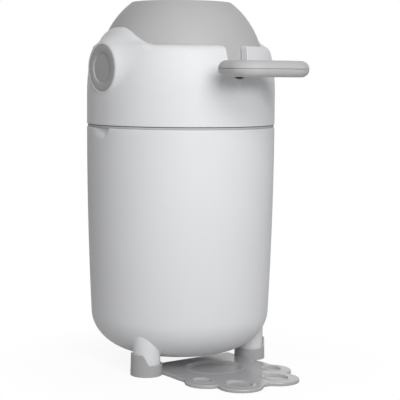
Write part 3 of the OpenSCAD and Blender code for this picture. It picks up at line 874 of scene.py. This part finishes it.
# upper ball half: up the sphere from the parting, over the rim, across the flat mouth and
# back inside
def ballHalfShape():
    b, low = ball, ball["parting"]
    left, gone = rounding(b["partingRound"], b["edgeRows"])
    join = np.stack([b["r"] - left, low + gone], 1)
    # the rim's arc touches the sphere from inside and the flat from below
    arcH = b["flat"] - b["rimRound"]
    arcR = math.sqrt((b["r"] - b["rimRound"]) ** 2 - arcH ** 2)
    start, end = math.asin((low + b["partingRound"]) / b["r"]), math.atan2(arcH, arcR)
    up = np.linspace(start, end, b["sideRows"])
    side = np.stack([b["r"] * np.cos(up), b["r"] * np.sin(up)], 1)
    over = np.linspace(end, np.pi / 2, b["rimRows"])[1:]
    rim = np.stack([arcR + b["rimRound"] * np.cos(over), arcH + b["rimRound"] * np.sin(over)], 1)
    left, gone = rounding(b["lipRound"], b["edgeRows"])
    lip = np.stack([b["lipR"] + left, b["flat"] - gone], 1)
    roof, innerR = b["flat"] - b["plate"], b["r"] - b["wall"]
    under = roof - b["seat"]
    roofR = math.sqrt(innerR ** 2 - roof ** 2)
    down = np.linspace(math.atan2(roof, roofR), math.asin(low / innerR), b["insideRows"])
    inside = np.stack([innerR * np.cos(down), innerR * np.sin(down)], 1)
    profile = np.vstack([join, side, rim, lip, [b["lipR"], roof], [b["tubeBore"], roof],
                         [b["tubeBore"], under], [roofR - b["roofIn"], under], inside])
    return lathe(profile, b["cols"])


# half of the bar's section, as (inwards from the outer edge, up): full round outside,
# smaller round inside
def barSection():
    g, r, low, small = ring, ring["thick"] / 2, ball["parting"], ball["partingRound"]
    t = np.linspace(math.asin((low + small) / r), np.pi / 2, g["outerRows"])
    outer = np.stack([r - r * np.cos(t), r * np.sin(t)], 1)
    t = np.linspace(0, np.pi / 2, g["innerRows"])
    c = g["innerRound"]
    inner = np.stack([g["bar"] - c + c * np.sin(t), r - c + c * np.cos(t)], 1)
    t = np.linspace(0, np.pi / 2, g["edgeRows"])
    up = low + small * (1 - np.sin(t))
    endIn = np.stack([g["bar"] - small * (1 - np.cos(t)), up], 1)
    startOut = np.stack([outer[0, 0] + small * np.cos(t), up], 1)[::-1]
    return np.vstack([outer, inner, endIn, startOut[:-1]])


# the section carried round a rectangle with round corners:
# point = corner centre + (radius - inwards) outward
def ringShape():
    section = barSection()
    half = (ring["far"] - ring["near"]) / 2
    c, count = ring["corner"], ring["cornerCols"]
    a = np.concatenate([np.radians(np.linspace(q, q + 90, count)) for q in (0, 90, 180, 270)])
    cx = np.repeat([1, -1, -1, 1], count) * (ring["half"] - c)
    cy = np.repeat([1, 1, -1, -1], count) * (half - c)
    reach = c - section[:, 0, None]
    grid = np.stack([cx + reach * np.cos(a), cy + reach * np.sin(a) - ring["near"] - half,
                     section[:, 1, None] + 0 * a], -1)
    return closedGrid(grid)


# half of the stem: a half slot with full round sides, wider where it runs into the ring
def stemShape():
    g, low = ring, ball["parting"]
    r = g["thick"] / 2 - g["stemTrim"]
    t = np.linspace(math.asin(low / r), np.pi - math.asin(low / r), g["stemCols"])
    y = np.linspace(ball["r"] - g["stemSunk"], g["near"] + g["stemOver"], g["stemRows"])[:, None]
    share = np.clip((y - g["near"] + g["flareFrom"]) / g["flareLong"], 0, 1)
    grow = g["stemFlare"] * (1 - np.sqrt(1 - share ** 2))
    x = (g["stemHalf"] - r + grow) * np.sign(np.cos(t)) + r * np.cos(t)
    z = r * np.sin(t) + 0 * y
    grid = np.stack([x, -y + 0 * t, z], -1)
    return closedGrid(grid, (0, -y[0, 0], r / 2), (0, -y[-1, 0], r / 2))


def makeBallHalf(name, node, upper):
    shape = joined(ballHalfShape(), ringShape(), stemShape())
    if not upper:
        shape = flipped(shape)
    piece = meshObject(name, moved(shape, z=place["pivotZ"]))
    finishPiece(piece, "ball", [node], grey)


makeBallHalf("ballUpper", "ball_upper", True)
makeBallHalf("ballLower", "ball_lower", False)

# boots and foot plate
boot = {
    "r": 22.5, "spread": 0.8, "innerR": 20.3, "floor": 3, "low": 17, "rearLow": 13, "high": 32,
    "tongueFull": 40, "tongueEnd": 68, "edge": 0.8,
    "cols": 288, "edgeRows": 5, "sideRows": 24, "rimRows": 12, "innerRows": 14,
}


# a cup whose rim rises into a tongue:
# rim height = low + (high - low) ease of the angle from the tongue
def bootShape(low):
    b = boot
    a = fullTurn(b["cols"], -np.pi)
    aside = np.abs(np.degrees(a))
    tongue = ease((b["tongueEnd"] - aside) / (b["tongueEnd"] - b["tongueFull"]))
    rim = low + (b["high"] - low) * tongue
    wall = b["r"] - b["innerR"]
    wide = b["r"] + b["spread"]
    left, gone = (v[:, None] for v in rounding(b["edge"], b["edgeRows"]))
    side = b["edge"] + (rim - wall / 2 - b["edge"]) * np.linspace(0, 1, b["sideRows"])[1:, None]
    flankR = wide - b["spread"] * side / b["high"]
    over = np.linspace(0, np.pi, b["rimRows"])[1:, None]
    overR = flankR[-1] - wall / 2 + wall / 2 * np.cos(over)
    down = np.linspace(0, 1, b["innerRows"])[1:, None]
    r = np.vstack([wide - left + 0 * a, flankR, overR,
                   b["innerR"] + (overR[-1] - b["innerR"]) * (1 - down)])
    z = np.vstack([gone + 0 * a, side, rim - wall / 2 + wall / 2 * np.sin(over),
                   rim - wall / 2 + (b["floor"] - rim + wall / 2) * down])
    return closedGrid(polar(r, a, z), (0, 0, 0), (0, 0, b["floor"]))


# lobes: x, y and radius of the round parts; pads: x, y and half sizes of the pressed ovals
plate = {
    "thick": 5, "rear": 20, "front": 222, "side": 79, "middleY": -120, "blend": 5,
    "sideBlend": 6, "frontIn": 14, "straightFrom": -0.12, "frontFrom": -0.97,
    "topRound": 1.8, "lowRound": 0.7, "topRows": 8, "lowRows": 5, "cols": 660, "rows": 84,
    "under": (0.2, 0.6, 0.9),
    "padDepth": 2.8, "padEdge": 2.2, "padEven": 0.75, "lip": 0.7, "lipWidth": 1.8, "lipReach": 4,
    "lobes": [(33, -190, 32), (58, -145, 31), (39, -109, 40)],
    "pads": [(0, -90, 41, 36), (33, -187.5, 16, 20), (-33, -187.5, 16, 20),
             (64, -142, 12, 15), (-64, -142, 12, 15)],
}
farAway = 1e6


# the outline as a distance from the middle: along each ray the furthest edge of any lobe or
# of the straight part
def plateReach(a):
    p = plate
    dx, dy = np.cos(a), np.sin(a)
    reach = np.zeros_like(a)
    for x, y, r in p["lobes"]:
        for side in (-1, 1):
            ox, oy = side * x, y - p["middleY"]
            along = ox * dx + oy * dy
            off = r * r - (ox * ox + oy * oy - along ** 2)
            found = np.where(off > 0, along + np.sqrt(np.maximum(off, 0)), 0)
            reach = np.where(found > 0, softMax(reach, found, p["blend"]), reach)
    sideHit = p["side"] / np.maximum(np.abs(dx), tiny)
    rearHit = (-p["rear"] - p["middleY"]) / np.maximum(dy, tiny)
    frontHit = (p["frontIn"] - p["front"] - p["middleY"]) / np.minimum(dy, -tiny)
    straight = softMin(sideHit, np.where(dy > 0, rearHit, farAway), p["sideBlend"])
    straight = np.where(dy > p["straightFrom"], straight, 0)
    straight = np.where(dy < p["frontFrom"], np.maximum(straight, frontHit), straight)
    return softMax(reach, straight, p["blend"])


# how far a pad is pressed in at a point: full inside the oval, with a raised lip along its border
def padDepth(x, y):
    p = plate
    depth = np.zeros_like(x)
    for px, py, w, l in p["pads"]:
        size = np.hypot((x - px) / w, (y - py) / l)
        inside = (1 - size) * min(w, l)
        floor = p["padEven"] + (1 - p["padEven"]) * (1 - size)
        pressed = p["padDepth"] * ease(inside / p["padEdge"]) * floor
        lip = p["lip"] * np.exp(-((inside + p["lipWidth"]) / p["lipWidth"]) ** 2)
        depth = np.where(inside > -p["lipReach"] * p["lipWidth"], pressed - lip, depth)
    return depth


# rings from the outline inwards: the edge's rounds step along the outline's normal, the rest
# along the rays
def plateShape():
    p = plate
    a = fullTurn(p["cols"], -np.pi)
    reach = plateReach(a)
    line = np.stack([reach * np.cos(a), p["middleY"] + reach * np.sin(a)], 1)
    ahead = np.roll(line, -1, 0) - np.roll(line, 1, 0)
    normal = np.stack([-ahead[:, 1], ahead[:, 0]], 1) / np.linalg.norm(ahead, axis=1)[:, None]
    middle = np.array([0, p["middleY"]])

    def row(xy, z):
        return np.concatenate([xy, (z + 0 * a)[:, None]], 1)

    low = [row(line + normal * left, gone)
           for left, gone in zip(*rounding(p["lowRound"], p["lowRows"]))]
    high = [row(line + normal * gone, p["thick"] - left)
            for left, gone in zip(*rounding(p["topRound"], p["topRows"]))]
    under = [row(middle + (low[0][:, :2] - middle) * share, 0) for share in p["under"]]
    edge = high[-1][:, :2]
    inside = []
    for share in np.linspace(1, 0, p["rows"], endpoint=False)[1:]:
        xy = middle + (edge - middle) * share
        inside.append(row(xy, p["thick"] - padDepth(xy[:, 0], xy[:, 1])))
    grid = np.array(under + low + high + inside)
    return closedGrid(grid, (*middle, 0), (*middle, p["thick"]))


def makeFeet():
    right, left, rear = footPlaces()
    shapes = [plateShape()]
    for x, y, turn in (right, left):
        shapes.append(moved(turned(bootShape(boot["low"]), turn), x, y))
    piece = meshObject("footPlate", joined(*shapes))
    finishPiece(piece, "bin", ["foot_plate"], polished)
    x, y, turn = rear
    piece = meshObject("rearBoot", moved(turned(bootShape(boot["rearLow"]), turn), x, y))
    finishPiece(piece, "bin", ["rear_boot"], grey)


makeFeet()

# floor, lamps and world; lamps in degrees, metres and watts
studio = {
    "floorSize": 30, "floorColour": 0.68, "floorForCamera": 1.25,
    "shadowReach": 0.16, "whiteReach": 0.36, "whiteShare": 0.89, "ambient": 0.255, "aimUp": 0.3,
    "key": {"azimuth": -21, "out": 1.45, "up": 1.0, "size": 0.95, "power": 16.9, "mirrored": True},
    "back": {"azimuth": 142, "out": 1.6, "up": 0.55, "size": 1.2, "power": 13, "mirrored": False},
}


# the floor takes the object's shadow near it, and turns to plain white for the camera further away
def makeFloor():
    s = studio
    bpy.ops.mesh.primitive_plane_add(size=s["floorSize"])
    floor = bpy.context.object
    floor.name = "floor"
    f = Finish("pale floor")
    plainWhite = (1, 1, 1)
    toCamera = f.node("ShaderNodeLightPath", output="Is Camera Ray")
    colour = f.mixedColour(toCamera, rgb(plainWhite, s["floorColour"]),
                           rgb(plainWhite, s["floorForCamera"]))
    near = f.node("ShaderNodeBsdfDiffuse", None, {"Color": colour})
    plain = f.node("ShaderNodeEmission", None, {"Color": rgb(plainWhite), "Strength": 1.0})
    away = f.node("ShaderNodeVectorMath", {"operation": "LENGTH"}, {0: f.objectPlace()}, "Value")
    far = f.node("ShaderNodeMapRange", {"clamp": True, "interpolation_type": "SMOOTHSTEP"},
                 {"Value": away, "From Min": s["shadowReach"], "From Max": s["whiteReach"]})
    share = (far * (1 - s["whiteShare"]) + s["whiteShare"]) * toCamera
    mixed = f.node("ShaderNodeMixShader", None, {0: share, 1: near, 2: plain})
    floor.data.materials.append(f.ended(mixed))


# a square lamp that faces the object; the camera never sees it, and glossy surfaces may not
def makeLamp(name, azimuth, out, up, size, power, mirrored):
    a = math.radians(azimuth)
    lamp = bpy.data.lights.new(name, "AREA")
    lamp.shape = "SQUARE"
    lamp.size = size
    lamp.energy = power
    holder = bpy.data.objects.new(name, lamp)
    holder.visible_camera = False
    holder.visible_glossy = mirrored
    spot = Vector((out * math.sin(a), place["axisY"] * mm - out * math.cos(a), up))
    aim = Vector((0, place["axisY"] * mm, studio["aimUp"])) - spot
    facing = aim.to_track_quat("-Z", "Y").to_matrix().to_4x4()
    holder.matrix_world = Matrix.Translation(spot) @ facing
    scene.collection.objects.link(holder)


# camera, glossy and transmission rays see plain white; the soft light on the object is dimmer
def makeWorld():
    scene.world = bpy.data.worlds.new("studio")
    w = Finish("studio", scene.world)
    unseen = 1
    for ray in ("Is Camera Ray", "Is Glossy Ray", "Is Transmission Ray"):
        unseen = unseen * (1 - w.node("ShaderNodeLightPath", output=ray))
    strength = 1 - unseen * (1 - studio["ambient"])
    sky = w.node("ShaderNodeBackground", None, {"Color": rgb((1, 1, 1)), "Strength": strength})
    w.ended(sky, "ShaderNodeOutputWorld")


makeFloor()
makeLamp("key", **studio["key"])
makeLamp("back", **studio["back"])
makeWorld()
print("stage set")
